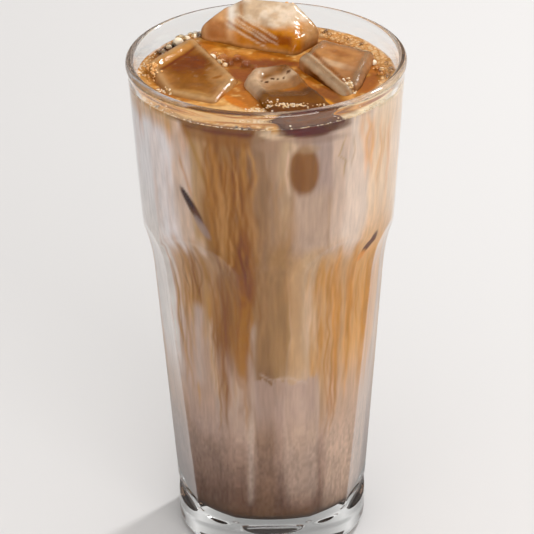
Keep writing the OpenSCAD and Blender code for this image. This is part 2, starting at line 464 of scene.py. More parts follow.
def paint_wall(azimuth, z):
    w = Wall(azimuth, z)
    round_back = 1 - between(azimuth, -76, 76, 14)

    # the whole wall: clouds of milk in coffee, greyer and darker towards the foot
    clouds = marble.layered(azimuth / 17 + 0.05 * w.waver, z / 46)
    w.lay("c6b0a0", ease(0.5 + 1.1 * clouds))
    w.streaks(301, ["a5763f", "8f6238", "b98a55"], 76, 180, 154, 53, 34, (0.5, 1.4), 0.5)
    w.streaks(302, ["a5763f", "8f6238", "b98a55"], -180, -76, 154, 53.5, 34, (0.5, 1.4), 0.5)

    # the back: the same bands of milk, coffee and amber as at the front, wider apart
    w.field("e0d3cb", -134, -92, 108, 150, 16, 30, 0.85)
    w.field("a37a4c", -158, -138, 84, 160, 16, 30, 0.7)
    w.field("8f6a45", 150, 178, 70, 160, 16, 30, 0.7)
    w.field("ddcbbd", 96, 138, 104, 150, 16, 30, 0.85)
    w.field("bb9468", -130, -96, 56, 104, 16, 30, 0.75)
    w.field("c59a64", 104, 134, 60, 104, 16, 30, 0.75)
    w.field("d2bfb2", -178, -150, 60, 92, 16, 30, 0.6)

    # upper stretch, left to right
    w.field("9d7f66", -36, 27.5, 100.5, 160)
    w.field("ece4e5", -86, -41, 109, 145, 8, 12)
    w.field("cdb5a3", -42, -34, 112, 147)
    w.field("b28f68", -34, -24, 118, 160, 4)
    w.field("97704a", -24, -8.5, 126, 160, 4)
    w.field("8f663b", -28, -6, 102.5, 128.5, 5)
    w.field("8b6d54", -11.5, 0.5, 104.5, 149, 4)
    w.field("a1846d", 2.5, 13.5, 110, 160, 3)
    w.field("b09785", 14.5, 27, 105.5, 144.5, 4)
    w.field("a58f84", 22, 34, 135, 150, 4)
    w.field("c4ad9c", 33, 40, 104.5, 151, 4)
    w.field("d8c6b8", 39.5, 76, 109, 150, 4)
    w.field("e3cab0", 54.5, 84, 105, 160, 6)
    w.field("cfab88", -80, -46, 152, 160, 6, 6)

    # lower stretch
    w.field("cba37c", -95, -38, 44.5, 104, 5)
    w.field("ece2de", -88, -64, 72, 106, 12, 28)
    w.field("a7876d", -16, -7, 62, 84, 4, 6, 0.8)
    w.field("b08a62", -42, -23, 61, 105, 4)
    w.field("8f6438", -24, -8, 69, 108, 4)
    w.field("835524", -14, -7, 88, 113, 3)
    w.field("8e6c4a", -9, 1.5, 42, 104.5, 3)
    w.field("9a7852", 1.5, 9, 63, 111, 3)
    w.field("b2906c", 11.5, 21.5, 46.5, 105, 3)
    w.field("b99a7a", 18, 25.5, 42, 105.5, 3)
    w.field("b68952", 25, 34, 70, 105, 3)
    w.field("c0996f", 31, 53, 51, 103, 4, 14)
    w.field("cfa06a", 52, 78, 62, 102, 8, 22)

    # towards the foot the coffee has mixed in, and the wall is painted darker step by step down to the
    # foot
    lower = ease((69 + w.sway - z) / 31)
    w.lay("a08577", 0.75 * lower * (1 - 0.35 * round_back))
    w.lay("866b5d", 0.85 * ease((48 + 0.6 * w.sway - z) / 19))
    w.lay("6b5043", 0.9 * ease((33 + 0.5 * w.sway - z) / 14))
    w.lay("56402f", 0.9 * ease((20 + 0.3 * w.sway - z) / 8))
    w.field("7a5d48", -8, 0.5, 10.5, 63, 4, 12, 0.5)
    w.field("b9a292", 10, 26, 27.5, 63, 6, 10, 0.45)
    w.field("c6ab97", 41, 80, 24, 55, 10, 18, 0.7)
    w.field("b9a39c", -59.5, -36, 46.5, 77, 5, 8, 0.5)

    # the cream lobe, the pale column and the brown curtain's edge
    w.spot("cdb193", 2.5, 152.4, 3.4, 1.6, 10, 0.8, 0.5)
    w.spot("a08068", 4, 148.5, 5.0, 2.2, 0, 0.7, 0.8)
    w.streak("c9ae93", [(10, 152.5), (12, 145.5), (9.5, 137)], 0.9, 0.8, 0.2)
    w.streak("bda182", [(8, 151.5), (7, 142), (7.5, 129.5), (6, 117)], 1.7, 0.75, 0.3)
    w.streak("a98048", [(-38, 154), (-34.5, 147.5), (-30, 139.5), (-27, 130.5), (-24, 122)], 0.8, 0.8)
    w.streak("b57b35", [(-41, 141.5), (-39, 135.5), (-37, 129)], 0.6, 0.9)

    # coffee curtain: fine streaks that slant to the right on their way down
    w.streaks(41, ["7c4c20", "b5854d", "8a5a2a", "a06c34"], -29, -7, 154, 109, 50, (0.25, 0.8), 0.8, 3)
    w.streaks(42, ["7f4f22", "b98b58"], -26, -4, 133.5, 96.5, 30, (0.3, 0.8), 0.6, 1)
    w.streaks(43, ["6d3d17", "7b4a20"], -15, -7, 121, 83.5, 10, (0.35, 0.8), 0.8, 0)
    w.streaks(44, ["a97f55", "8a6a4a", "977350"], -8, 11.5, 146, 63, 24, (0.5, 1.3), 0.35, 0)
    # brown line under the surface, left of the middle
    w.seam("633611", [(-40, 152.6), (-32, 152.8), (-19, 152.4), (-4, 152.6)], 1.6, 0.95)
    w.seam("87582d", [(-40, 150.5), (-27, 149.8), (-17, 149.4), (-5.5, 149.6)], 2.0, 0.7)

    # top left: orange and brown threads let down into the milk
    w.streaks(51, ["c07f3a", "a8713c", "d19a55", "9a6a3c"], -72, -38, 154, 143, 14, (0.5, 1.4), 0.55, 2)
    w.streaks(52, ["d9c9be", "ece4e4"], -80, -40, 148.5, 113, 12, (1.4, 3.2), 0.3, 1)
    w.streaks(53, ["bb946c", "b08a66"], -61.5, -38, 139, 108.5, 8, (0.6, 1.4), 0.25, 2)

    # top right: orange threads in the pink beige milk
    w.streaks(61, ["e0a14c", "d6924a", "d9a055"], 44, 66, 154, 126, 8, (0.5, 1.2), 0.65, 2)
    w.streaks(62, ["e6d3c4", "cdb4a2"], 34, 89.5, 154, 107, 12, (1.2, 2.8), 0.35, 0)
    w.streaks(63, ["dcb98c", "d9a566"], 50, 89.5, 150, 106, 9, (0.5, 1.3), 0.4, 0)
    w.streak("a9854a", [(35, 148), (32.5, 142.5), (37, 140), (35, 135)], 0.35, 0.5, 0.8)
    w.streak("a9854a", [(39.5, 147.5), (41, 142.5), (40, 138)], 0.3, 0.45, 0.8)

    # ice close to the wall under the surface on the right
    w.spot("54280f", 18, 153.2, 8.4, 2.8, 4, 0.95, 0.4)
    w.spot("624332", 30.5, 153.5, 4.6, 2.2, 10, 0.8, 0.6)
    w.spot("8a7064", 21.5, 149.5, 8.5, 1.3, 6, 0.5, 0.8)
    w.spot("80562f", 16, 139.5, 4.1, 8.0, -3, 0.95, 0.35, 0.06)
    w.spot("6f4526", 13.5, 138.5, 1.8, 6.6, -3, 0.5, 0.8)
    w.spot("a88a6c", 18, 146.5, 2.9, 1.3, 0, 0.5, 0.8)
    w.streak("c7ab92", [(9, 146.5), (8, 139), (9.5, 132)], 0.45, 0.8, 0.1, 0, 3)
    # and two edges of ice at the left and the right
    w.spot("54341f", -36.5, 125.2, 1.35, 6.6, -31, 0.95, 0.4, 0.1)
    w.spot("93827f", -31.8, 119.0, 1.3, 4.2, -31, 0.7, 0.6)
    w.spot("3a2012", -38.6, 127.6, 0.8, 3.4, -31, 0.9, 0.5)
    w.spot("5b3419", 59.5, 107.0, 1.5, 3.3, 38, 0.95, 0.4)
    w.spot("d9934a", 56.0, 103.6, 1.4, 2.2, 38, 0.8, 0.6)

    # left flats: amber threads, a wedge of milk between them
    w.streaks(71, ["b07a35", "c0914c", "a06c2c"], -64, -36, 110, 51, 24, (0.4, 1.2), 0.6, 2)
    w.streaks(72, ["7a4615", "8a5620"], -53, -38, 110, 84, 9, (0.3, 0.6), 0.85, 0)
    w.streak("c6b2a8", [(-44, 88), (-45.5, 80), (-46, 70.5), (-47, 59.5)], 2.6, 0.9, 0.5)
    w.streak("ad7d45", [(-50, 112), (-48, 106), (-49, 98)], 1.6, 0.8, 0.5)
    w.streak("a0702f", [(-38, 113), (-36, 107), (-35, 98)], 1.4, 0.8, 0.5)
    # painted highlight: a light grey streak where the edge of a glass facet runs down in front of the
    # drink
    w.streak("b9a698", [(-10, 86), (-12, 66), (-13, 46), (-15, 20)], 1.3, 0.55, 0.3)
    w.streak("cbb5a4", [(-36, 84), (-34.5, 74.5), (-33, 58)], 1.8, 0.6, 0.5)
    w.streaks(73, ["845222", "a06f38"], -36, -12, 105, 46, 34, (0.35, 0.9), 0.7, 0)
    w.streaks(74, ["7c4a1c", "8b5a2c"], -32, -24, 101, 40, 8, (0.35, 0.7), 0.75, 0)
    w.streaks(75, ["b8a093", "ab9281"], -30, -8, 75.5, 42, 14, (0.6, 1.4), 0.5, 0)

    # right flats: amber bands
    w.streaks(81, ["b17c35", "c08a42", "a97330"], 21.5, 38.5, 106, 59, 22, (0.4, 1.0), 0.75, 0)
    w.streaks(82, ["c98f4a", "b9823c"], 35, 73, 106.5, 51, 26, (0.4, 1.1), 0.6, 0)
    w.streaks(83, ["a8713a", "9a6632"], 33, 42, 70, 37.5, 5, (0.4, 0.7), 0.7, 0)
    w.streak("c08a48", [(37, 112), (39, 106), (38, 98), (40, 90)], 1.1, 0.7, 0.5)
    w.streak("bd8440", [(50, 110), (52, 102), (51, 94), (53, 84)], 1.2, 0.7, 0.5)
    w.streaks(84, ["d8c0a8", "cdb091"], 13.5, 31.5, 103.5, 63.5, 10, (0.7, 1.6), 0.4, 0)

    # the jagged line above the mixed part, in the middle
    jag = 66 + 2.4 * grain.layered(azimuth / 2.3, 1.5) + 1.5 * grain(azimuth / 6, 4.5)
    middle = between(azimuth, -8, 25, 5)
    w.lay("ad958a", 0.7 * middle * ease((jag - z) / 1.2) * ease((z - 40) / 16))
    w.seam("bfa99c", [(-8, 68), (1, 66), (11, 66.5), (23, 63)], 0.5, 0.4)

    # specks in the mixed part
    low = ease((55 - z) / 20)
    specks = grain.layered(azimuth * DEGREE / 0.9, z / 1.3, 3)
    coarse = grain(azimuth * DEGREE / 4, z / 9, 8)
    w.paint.shade(1 + 0.28 * low * np.clip(specks, -1, 1) + 0.10 * coarse * low)
    return w.paint.rgb


# -------- colours of the top
top_noise = Noise(31)


class Plan:
    """Points seen from above, in millimetres from the axis."""

    def __init__(self, x, y, base):
        self.x = x
        self.y = y
        self.paint = Paint(len(x), base)
        self.lay = self.paint.lay
        self.rough = top_noise.layered(x / 3.5, y / 3.5)

    def spot(self, colour, x, y, half_x, half_y, turn=0.0, strength=1.0, soft=0.5, rough=0.25):
        c, s = math.cos(math.radians(turn)), math.sin(math.radians(turn))
        along = (self.x - x) * c + (self.y - y) * s
        over = (self.y - y) * c - (self.x - x) * s
        reach = np.hypot(along / half_x, over / half_y) + rough * self.rough
        self.lay(colour, strength * ease((1 + soft / 2 - reach) / soft))

    def line(self, colour, start, end, width, strength=1.0):
        start, end = np.array(start, float), np.array(end, float)
        run = end - start
        t = ((self.x - start[0]) * run[0] + (self.y - start[1]) * run[1]) / (run @ run)
        near = np.clip(t, 0, 1)
        dist = np.hypot(self.x - start[0] - near * run[0], self.y - start[1] - near * run[1])
        off = (dist + 0.5 * width * self.rough) / width
        self.lay(colour, strength * np.exp(-off * off))


def paint_top(x, y):
    p = Plan(x, y, "a9662a")
    radius = np.hypot(x, y)
    azimuth = np.degrees(np.arctan2(x, -y))
    swirl = top_noise.layered(x / 6, y / 6, 2)
    p.lay("cf9350", 0.9 * ease(0.35 + 1.3 * swirl))
    p.lay("8e540c", 0.8 * ease(-0.05 - 1.6 * top_noise.layered(x / 4.5, y / 4.5, 6)))
    p.lay("e2b675", 0.6 * ease(-0.3 + 2.0 * top_noise.layered(x / 2.2, y / 2.2, 9)))
    # film against the wall: tan at the left, pale crema at the right, froth behind
    at_wall = ease((radius - 32.5) / 4)
    for colour, strength, low, high, soft in [("cf9548", 0.85, -75, 4, 10), ("7f6048", 0.85, 10, 34, 6),
                                              ("fae2ba", 0.92, 42, 85, 8), ("dfa565", 0.8, 88, 168, 12)]:
        p.lay(colour, strength * at_wall * between(azimuth, low, high, soft))
    flecks = ease(-0.2 + 2.2 * top_noise.layered(x / 1.3, y / 1.3, 12))
    p.lay("f6dfb8", 0.85 * flecks * at_wall)
    p.lay("b9813f", 0.8 * at_wall * between(azimuth, -135, -80, 12))
    edge = ease((radius - 35.0) / 1.4)
    p.lay("80501e", 0.92 * edge * between(azimuth, -44, -4, 5))
    p.lay("5a2d12", 0.95 * ease((radius - 32.0) / 2.0) * between(azimuth, 7, 34, 4))
    # dark gaps beside the lumps
    p.spot("5f2f0c", -28, 19, 4.5, 8, -40, 0.9, 0.9)
    p.spot("94560e", 31, -5, 3, 7, -20, 0.85, 0.9)
    p.spot("854a06", -8, 5, 5, 11, 10, 0.85, 0.9)
    p.spot("7a4206", 3, 10, 8, 3, -10, 0.85, 0.9)
    # a brown slope with an amber light between the front and the right lump
    p.spot("7d4a14", 19, -17, 4.5, 10, 25, 0.85, 0.8)
    p.line("e0951f", (12, -10), (22, -24), 0.9, 0.8)
    # crema at the front with amber lights
    p.spot("dcb179", -14, -25, 12, 4.5, 8, 0.8)
    p.spot("c4711c", -9, -18, 1.6, 8, 35, 0.9, 0.9)
    p.spot("d8b283", 0, -27, 8, 3.5, 0, 0.7)
    return p.paint.rgb


def paint_cavity(x, y, z):
    """The drink round and under each lump, seen through the ice."""
    p = Plan(x, y, "e6a050")
    depth = np.clip(LEVEL - z, 0, 30)
    p.lay("f0c894", ease(0.35 + 1.4 * top_noise.layered(x / 6, y / 6, z / 6)))
    p.lay("a8601e", 0.6 * ease((depth - 6) / 12))
    # amber light under the back lump, dark under the front one
    p.spot("f5a030", 0, 22, 10, 7, 0, 0.8)
    p.spot("8a4a18", 10, -24, 12, 7, 0, 0.75)
    return p.paint.rgb


def paint_drink(drink):
    co = vertices_mm(drink)
    x, y, z = co[:, 0], co[:, 1], co[:, 2]
    radius = np.hypot(x, y)
    azimuth = np.degrees(np.arctan2(x, -y))
    to_wall = inside_radius(np.clip(z, BASE_T, LEVEL)) + INTO_WALL - radius
    on_wall = ease(1 - to_wall / 0.5) * (z < LEVEL + MENISCUS - 0.05)
    below = LEVEL + surface_height(x, y) - z
    on_top = ease(1.4 - below / 0.35) * (1 - on_wall)
    rgb = paint_cavity(x, y, z)
    rgb += (paint_top(x, y) - rgb) * on_top[:, None]
    rgb = in_the_open(rgb)
    rgb += (behind_glass(paint_wall(azimuth, z)) - rgb) * on_wall[:, None]
    # painted shade: the bottom of the drink, up to about 3 mm over its floor, is painted dark brown
    under = ease((BASE_T + 3 - z) / 2)[:, None]
    rgb += (linear("4a3324") - rgb) * under
    store_colour(drink, "tint", rgb)
    store_value(drink, "wet", 0.4 * (1 - on_wall) * (1 - under[:, 0]))


# -------- materials
def new_material(name):
    material = bpy.data.materials.new(name)
    material.use_nodes = True
    tree = material.node_tree
    return material, tree, tree.nodes["Principled BSDF"]


def node(tree, kind, **settings):
    made = tree.nodes.new(kind)
    for key, value in settings.items():
        setattr(made, key, value)
    return made


def settle(shader, values):
    """Sets constants on the inputs of a shader or another node."""
    for name, value in values.items():
        shader.inputs[name].default_value = value


def attribute(tree, name, output="Color"):
    return node(tree, "ShaderNodeAttribute", attribute_name=name).outputs[output]


def stretched_noise(tree, scale, detail=4.0, stretch=(1, 1, 1)):
    """Noise over the object's own coordinates, which can be stretched along an axis."""
    coords = node(tree, "ShaderNodeTexCoord")
    mapping = node(tree, "ShaderNodeMapping")
    settle(mapping, {"Scale": stretch})
    noise_node = node(tree, "ShaderNodeTexNoise")
    settle(noise_node, {"Scale": scale, "Detail": detail})
    tree.links.new(coords.outputs["Object"], mapping.inputs["Vector"])
    tree.links.new(mapping.outputs["Vector"], noise_node.inputs["Vector"])
    return noise_node.outputs["Fac"]


def remap(tree, value, low, high):
    ramp = node(tree, "ShaderNodeMapRange")
    settle(ramp, {"From Min": 0.3, "From Max": 0.7, "To Min": low, "To Max": high})
    tree.links.new(value, ramp.inputs["Value"])
    return ramp.outputs["Result"]


def scaled_colour(tree, colour, factor):
    product = node(tree, "ShaderNodeVectorMath", operation="SCALE")
    tree.links.new(colour, product.inputs[0])
    tree.links.new(factor, product.inputs["Scale"])
    return product.outputs["Vector"]


def add_bump(tree, shader, height, strength, distance):
    bump = node(tree, "ShaderNodeBump")
    settle(bump, {"Strength": strength, "Distance": distance})
    tree.links.new(height, bump.inputs["Height"])
    tree.links.new(bump.outputs["Normal"], shader.inputs["Normal"])


def clear_glass():
    """Pressed soda glass, with the faint waviness left by the mould."""
    material, tree, shader = new_material("clear_glass")
    settle(shader, {"Base Color": (0.975, 0.985, 0.98, 1), "Roughness": 0.0, "IOR": 1.5,
                    "Transmission Weight": 1.0})
    add_bump(tree, shader, stretched_noise(tree, 90, 1.5, (1, 1, 0.45)), 0.05, 0.0006)
    return material


def latte():
    """Milk and coffee: colour from the tint, fine threads from stretched noise; a soft
    surface against the glass and a wet film on top."""
    material, tree, shader = new_material("latte")
    threads = remap(tree, stretched_noise(tree, 900, 3.0, (1, 1, 0.11)), 0.90, 1.10)
    clouds = remap(tree, stretched_noise(tree, 160, 3.0, (1, 1, 0.5)), 0.95, 1.05)
    colour = scaled_colour(tree, scaled_colour(tree, attribute(tree, "tint"), threads), clouds)
    tree.links.new(colour, shader.inputs["Base Color"])
    wet = attribute(tree, "wet", "Fac")
    dry = node(tree, "ShaderNodeMapRange")
    settle(dry, {"To Min": 0.85, "To Max": 0.12})
    tree.links.new(wet, dry.inputs["Value"])
    tree.links.new(dry.outputs["Result"], shader.inputs["Roughness"])
    settle(shader, {"IOR": 1.36, "Specular IOR Level": 0.2})
    tree.links.new(wet, shader.inputs["Coat Weight"])
    settle(shader, {"Coat Roughness": 0.05, "Coat IOR": 1.34})
    add_bump(tree, shader, stretched_noise(tree, 700, 4.0), 0.15, 0.0003)
    return material


def ice():
    """Melting ice wet with coffee: part clear, part clouded, tinted by what coats it and by painted
    highlights and shade.
    """
    material, tree, shader = new_material("wet_ice")
    cloud = remap(tree, stretched_noise(tree, 220, 5.0), 0.9, 1.08)
    colour = scaled_colour(tree, attribute(tree, "tint"), cloud)
    tree.links.new(colour, shader.inputs["Base Color"])
    tree.links.new(attribute(tree, "clear", "Fac"), shader.inputs["Transmission Weight"])
    tree.links.new(remap(tree, stretched_noise(tree, 300, 3.0), 0.06, 0.20),
                   shader.inputs["Roughness"])
    settle(shader, {"IOR": 1.31, "Specular IOR Level": 0.3})
    add_bump(tree, shader, stretched_noise(tree, 330, 4.0), 0.45, 0.0008)
    return material


def bubble_film():
    material, tree, shader = new_material("bubble_film")
    light = remap(tree, stretched_noise(tree, 500, 2.0), 0.94, 1.0)
    tree.links.new(scaled_colour(tree, attribute(tree, "tint"), light), shader.inputs["Base Color"])
    settle(shader, {"Roughness": 0.0, "IOR": 1.33, "Transmission Weight": 1.0})
    return material


def foam_cream():
    material, tree, shader = new_material("foam_cream")
    light = remap(tree, stretched_noise(tree, 260, 4.0), 0.88, 1.08)
    tree.links.new(scaled_colour(tree, attribute(tree, "tint"), light), shader.inputs["Base Color"])
    settle(shader, {"Roughness": 0.3, "IOR": 1.34})
    return material


# -------- ice
ice_waves = Noise(51)


ICE_VOXEL = 0.6
CUT_SLACK = 0.15           # how much smaller than a lump its room in the drink is, all round


def remesh(obj, voxel_mm):
    mod = obj.modifiers.new("voxels", "REMESH")
    mod.mode = "VOXEL"
    mod.voxel_size = voxel_mm * MM
    soften = obj.modifiers.new("soften", "SMOOTH")
    soften.factor = 0.5
    soften.iterations = 4
    apply_modifiers(obj)


def normals_of(obj):
    values = np.zeros(len(obj.data.vertices) * 3)
    obj.data.vertices.foreach_get("normal", values)
    return values.reshape(-1, 3)


def from_line(x, y, start, end):
    """Distance from a line through two points, positive on its left."""
    run = np.array(end, float) - np.array(start, float)
    run /= np.hypot(*run)
    return (y - start[1]) * run[0] - (x - start[0]) * run[1]


def melt(obj, relief):
    """Melted ripples over a lump, and the lump's own relief on top."""
    co = vertices_mm(obj)
    out = normals_of(obj)
    wave = 0.42 * ice_waves.layered(*(co / 5.5).T) + 0.12 * ice_waves(*(co / 1.8).T)
    wave = wave + relief(co[:, 0], co[:, 1], co[:, 2], out)
    emerged = ease((co[:, 2] - LEVEL + 1.5) / 2)
    set_vertices_mm(obj, co + out * (wave * (0.3 + 0.7 * emerged))[:, None])


LEFT_EDGE = [(-15.9, -17.4), (-10.5, -3.5), (-22.9, 20.9), (-34.1, 4.3), (-28.3, -10.8)]
RIGHT_EDGE = [(25.6, -9.7), (30.6, 10.5), (17.8, 15.9), (12.0, 5.8), (23.2, -12.8)]
FRONT_EDGE = [(6.2, -35.2), (19.4, -29.8), (5.8, 1.2), (-2.7, -0.4), (-4.6, -6.2)]


def within(x, y, corners):
    """How far inside an anticlockwise outline each point lies, negative outside."""
    dist = np.full(np.shape(x), 99.0)
    for k, start in enumerate(corners):
        dist = np.minimum(dist, from_line(x, y, start, corners[(k + 1) % len(corners)]))
    return dist


def lip(inside, height, hollow):
    """A rounded rim round a slightly hollow face."""
    return height * bell(inside, 0.2, 1.1) - hollow * ease((inside - 0.8) / 2.2)


def left_relief(x, y, z, out):
    inside = within(x, y, LEFT_EDGE)
    ridge = np.abs(from_line(x, y, (-34.1, 4.3), (-22.9, 20.9)))
    up = ease((out[:, 2] - 0.3) / 0.4)
    return up * (lip(inside, 0.2, 0.35) + 0.3 * bell(ridge, 1.2, 1.5))


def right_relief(x, y, z, out):
    inside = within(x, y, RIGHT_EDGE)
    groove = np.abs(from_line(x, y, (12.0, 5.8), (23.2, -12.8)))
    up = ease((out[:, 2] - 0.3) / 0.4)
    return up * (lip(inside, 0.2, 0.25) - 0.6 * bell(groove, 2.6, 0.8))


def back_relief(x, y, z, out):
    ridge = np.abs(from_line(x, y, (-17.8, 24.0), (8.1, 15.8)))
    dent = np.hypot((x + 1) / 9, (z - LEVEL - 3.5) / 3)
    facing = ease((-out[:, 1] - 0.1) / 0.5)
    return 0.5 * bell(ridge, 2, 1.5) - 1.1 * facing * ease(1.3 - dent)


def front_relief(x, y, z, out):
    inside = within(x, y, FRONT_EDGE)
    up = ease((out[:, 2] - 0.3) / 0.4)
    emerged = ease((y + 20) / 8)
    return up * (lip(inside, 0.5, 0.9 * emerged) + 0.5 * (1 - emerged))


def paint_ice(obj, recipe):
    co = vertices_mm(obj)
    out = normals_of(obj)
    plan, clear = recipe(co[:, 0], co[:, 1], co[:, 2], out)
    cloudy = ice_waves.layered(*(co / 2.4).T)
    plan.paint.shade(1 + 0.16 * cloudy + 0.10 * ice_waves(*(co / 0.9).T))
    plan.lay("f3dcba", 0.2 * ease(-0.8 + 2.2 * ice_waves.layered(*(co / 1.3 + 40).T)))
    store_colour(obj, "tint", in_the_open(plan.paint.rgb))
    store_value(obj, "clear", np.clip(clear, 0, 1))


def left_colours(x, y, z, out):
    p = Plan(x, y, "b57e4a")
    inside = within(x, y, LEFT_EDGE)
    p.spot("7d4410", -23, 5, 8, 12, 25, 0.95, 1.1)
    p.spot("96602e", -21, -7, 7, 7, 25, 0.75, 1.2)
    p.spot("c69662", -12.5, -6, 3, 9, 25, 0.7, 1.0)
    p.spot("c08c4c", -22, -13, 7, 2, -20, 0.7, 0.8)
    p.spot("b35f17", -13, -14, 2.5, 3.0, 0, 0.7, 0.8)
    ridge = np.abs(from_line(x, y, (-34.1, 4.3), (-22.9, 20.9)))
    p.lay("c88d4c", 0.95 * bell(ridge, 1.4, 2.2))
    p.lay("74380c", 0.85 * bell(ridge, 4.0, 0.6))
    # painted highlight: a pale rim along the lump's outline
    p.lay("e0b27c", 0.7 * bell(inside, 0, 0.9))
    p.spot("9a5c26", -14.6, -2.6, 1.8, 1.0, 30, 0.8, 0.4)
    return p, 0.25 + 0.15 * bell(inside, 0, 1.2)


def right_colours(x, y, z, out):
    p = Plan(x, y, "c0895a")
    inside = within(x, y, RIGHT_EDGE)
    p.spot("c88d56", 21, 8, 8, 5, -20, 0.8, 0.9)
    p.spot("a9683a", 22, 9, 4, 1.6, -30, 0.6, 0.8)
    p.spot("dfbb94", 20.5, 2, 7, 1.7, -25, 0.7, 0.9)
    p.spot("b07a50", 26, -3, 3, 6, 10, 0.6, 0.9)
    groove = np.abs(from_line(x, y, (12.0, 5.8), (23.2, -12.8)))
    # painted highlight on the strip between the lump's edge and the groove, and painted shade down in
    # the groove
    p.lay("ecd2ac", 0.8 * bell(groove, 1.2, 0.7))
    p.lay("7d4317", 0.8 * bell(groove, 3.0, 0.6))
    # painted shade: darker on the sides and underside of the lump's front part
    p.lay("5a2a0d", 0.85 * ease((0.5 - out[:, 2]) / 0.3) * ease((4 - y) / 6))
    # painted highlight: a pale rim along the lump's outline
    p.lay("e9c79a", 0.5 * bell(inside, 0, 0.7))
    return p, 0.30 + 0.35 * bell(inside, 0, 1.4)


def back_colours(x, y, z, out):
    p = Plan(x, y, "cf9d68")
    height = z - LEVEL + 0.8 * p.rough
    frost = ease((height - 5.0) / 2.4) * between(x, -9, 12, 3)
    p.lay("e2ac78", 0.95 * between(x, -24, -9, 3) * ease(height / 2))
    p.lay("a8632c", 0.7 * between(x, -17, -13, 2) * between(height, 2, 5, 1.5))
    p.lay("cdb090", frost)
    p.lay("e9d6bf", 0.7 * frost * ease(0.2 + 1.8 * top_noise.layered(x / 3, y / 3, z / 3)))
    p.lay("d08018", 0.85 * between(height, 1.8, 5.4, 1.6) * between(x, -8, 10, 3))
    p.lay("9c520c", 0.8 * between(height, 3.0, 4.4, 0.9) * between(x, -3, 7, 2))
    p.lay("8a4a0c", 0.75 * ease((1.2 - height) / 1.4))
    # painted highlight: a near-white line along the edge between the brownish left face and the frosted
    # top
    p.lay("fbf3e6", 0.85 * bell(x, -10.5, 1.1) * ease((height - 3.5) / 2))
    p.lay("b07034", 0.6 * np.exp(-((x + 7.5 + 0.6 * p.rough) / 0.7) ** 2) * ease((height - 1) / 2))
    # two ridges across the face: each a dark line edged on both sides by a painted highlight
    for shift in (0, 3.4):
        ridge_and_glint = np.abs(z - LEVEL - 4.6 + 0.34 * (x + 8 - shift * 2))
        part = between(x, -11 + shift, -1 + shift, 2)
        p.lay("9a5512", 0.55 * bell(ridge_and_glint, 0, 0.4) * part)
        p.lay("f4dfc0", 0.7 * bell(ridge_and_glint, 0.7, 0.25) * part)
    return p, 0.3 + 0.15 * between(height, -5, 4, 2) - 0.1 * frost


def front_colours(x, y, z, out):
    p = Plan(x, y, "93602f")
    inside = within(x, y, FRONT_EDGE)
    p.spot("c08c5c", 4, -9, 8, 3.5, 14, 0.8, 0.9)
    p.spot("c87818", 10, -12.5, 6, 1.6, 4, 0.85, 0.8)
    p.spot("774c12", 10, -20, 11, 6, 0, 0.85, 0.8)
    # painted highlight: a pale rim along the outline of the part above the drink
    p.lay("e3bf98", 0.9 * bell(inside, 0.4, 1.5) * ease((5 - x) / 6) * ease((y + 18) / 6))
    p.line("e8c49c", (-3.6, -8.0), (8.0, -3.6), 2.0, 0.95)
    for k in range(7):
        hole = (-3.2 + 1.65 * k, -7.8 + 0.66 * k + 0.7 * math.sin(2.4 * k))
        p.spot("4f260c", hole[0], hole[1], 0.5 - 0.2 * math.sin(1.7 * k), 0.7, 0, 0.9, 0.4, 0.1)
    p.lay("6a4212", 0.9 * ease((-22 - y) / 5))
    p.lay("efc9a0", 0.85 * ease((-0.5 - x) / 3) * ease((y + 20) / 6))
    open_end = 1 - ease((-16 - y) / 8)
    return p, (0.38 + 0.15 * bell(inside, 0, 1.4)) * (0.1 + 0.9 * open_end)


LUMPS = {
    "ice_left": (left_relief, left_colours),
    "ice_right": (right_relief, right_colours),
    "ice_back": (back_relief, back_colours),
    "ice_front": (front_relief, front_colours),
}


def build_lump(name, material):
    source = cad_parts[name]
    mesh = source.data.copy()
    mesh.materials.clear()
    lump = bpy.data.objects.new(name + "_melted", mesh)
    show(lump)
    remesh(lump, ICE_VOXEL)
    relief, colours = LUMPS[name]
    melt(lump, relief)
    paint_ice(lump, colours)
    lump.data.materials.append(material)
    lump.data.shade_smooth()
    return lump


def cut_out(drink, lumps):
    """Takes the room of each lump, a hair smaller, out of the drink."""
    for lump in lumps:
        cutter = bpy.data.objects.new("cutter", lump.data.copy())
        show(cutter)
        for layer in ("tint", "clear"):
            cutter.data.attributes.remove(cutter.data.attributes[layer])
        set_vertices_mm(cutter, vertices_mm(cutter) - CUT_SLACK * normals_of(cutter))
        mod = drink.modifiers.new("cut", "BOOLEAN")
        mod.operation = "DIFFERENCE"
        mod.solver = "MANIFOLD"
        mod.object = cutter
        apply_modifiers(drink)
        bpy.data.objects.remove(cutter)


# -------- bubbles and foam
def ball(radius, detail=2):
    mesh = bmesh.new()
    bmesh.ops.create_icosphere(mesh, subdivisions=detail, radius=radius)
    verts = np.array([v.co for v in mesh.verts])
    faces = [[v.index for v in f.verts] for f in mesh.faces]
    mesh.free()
    return verts, faces


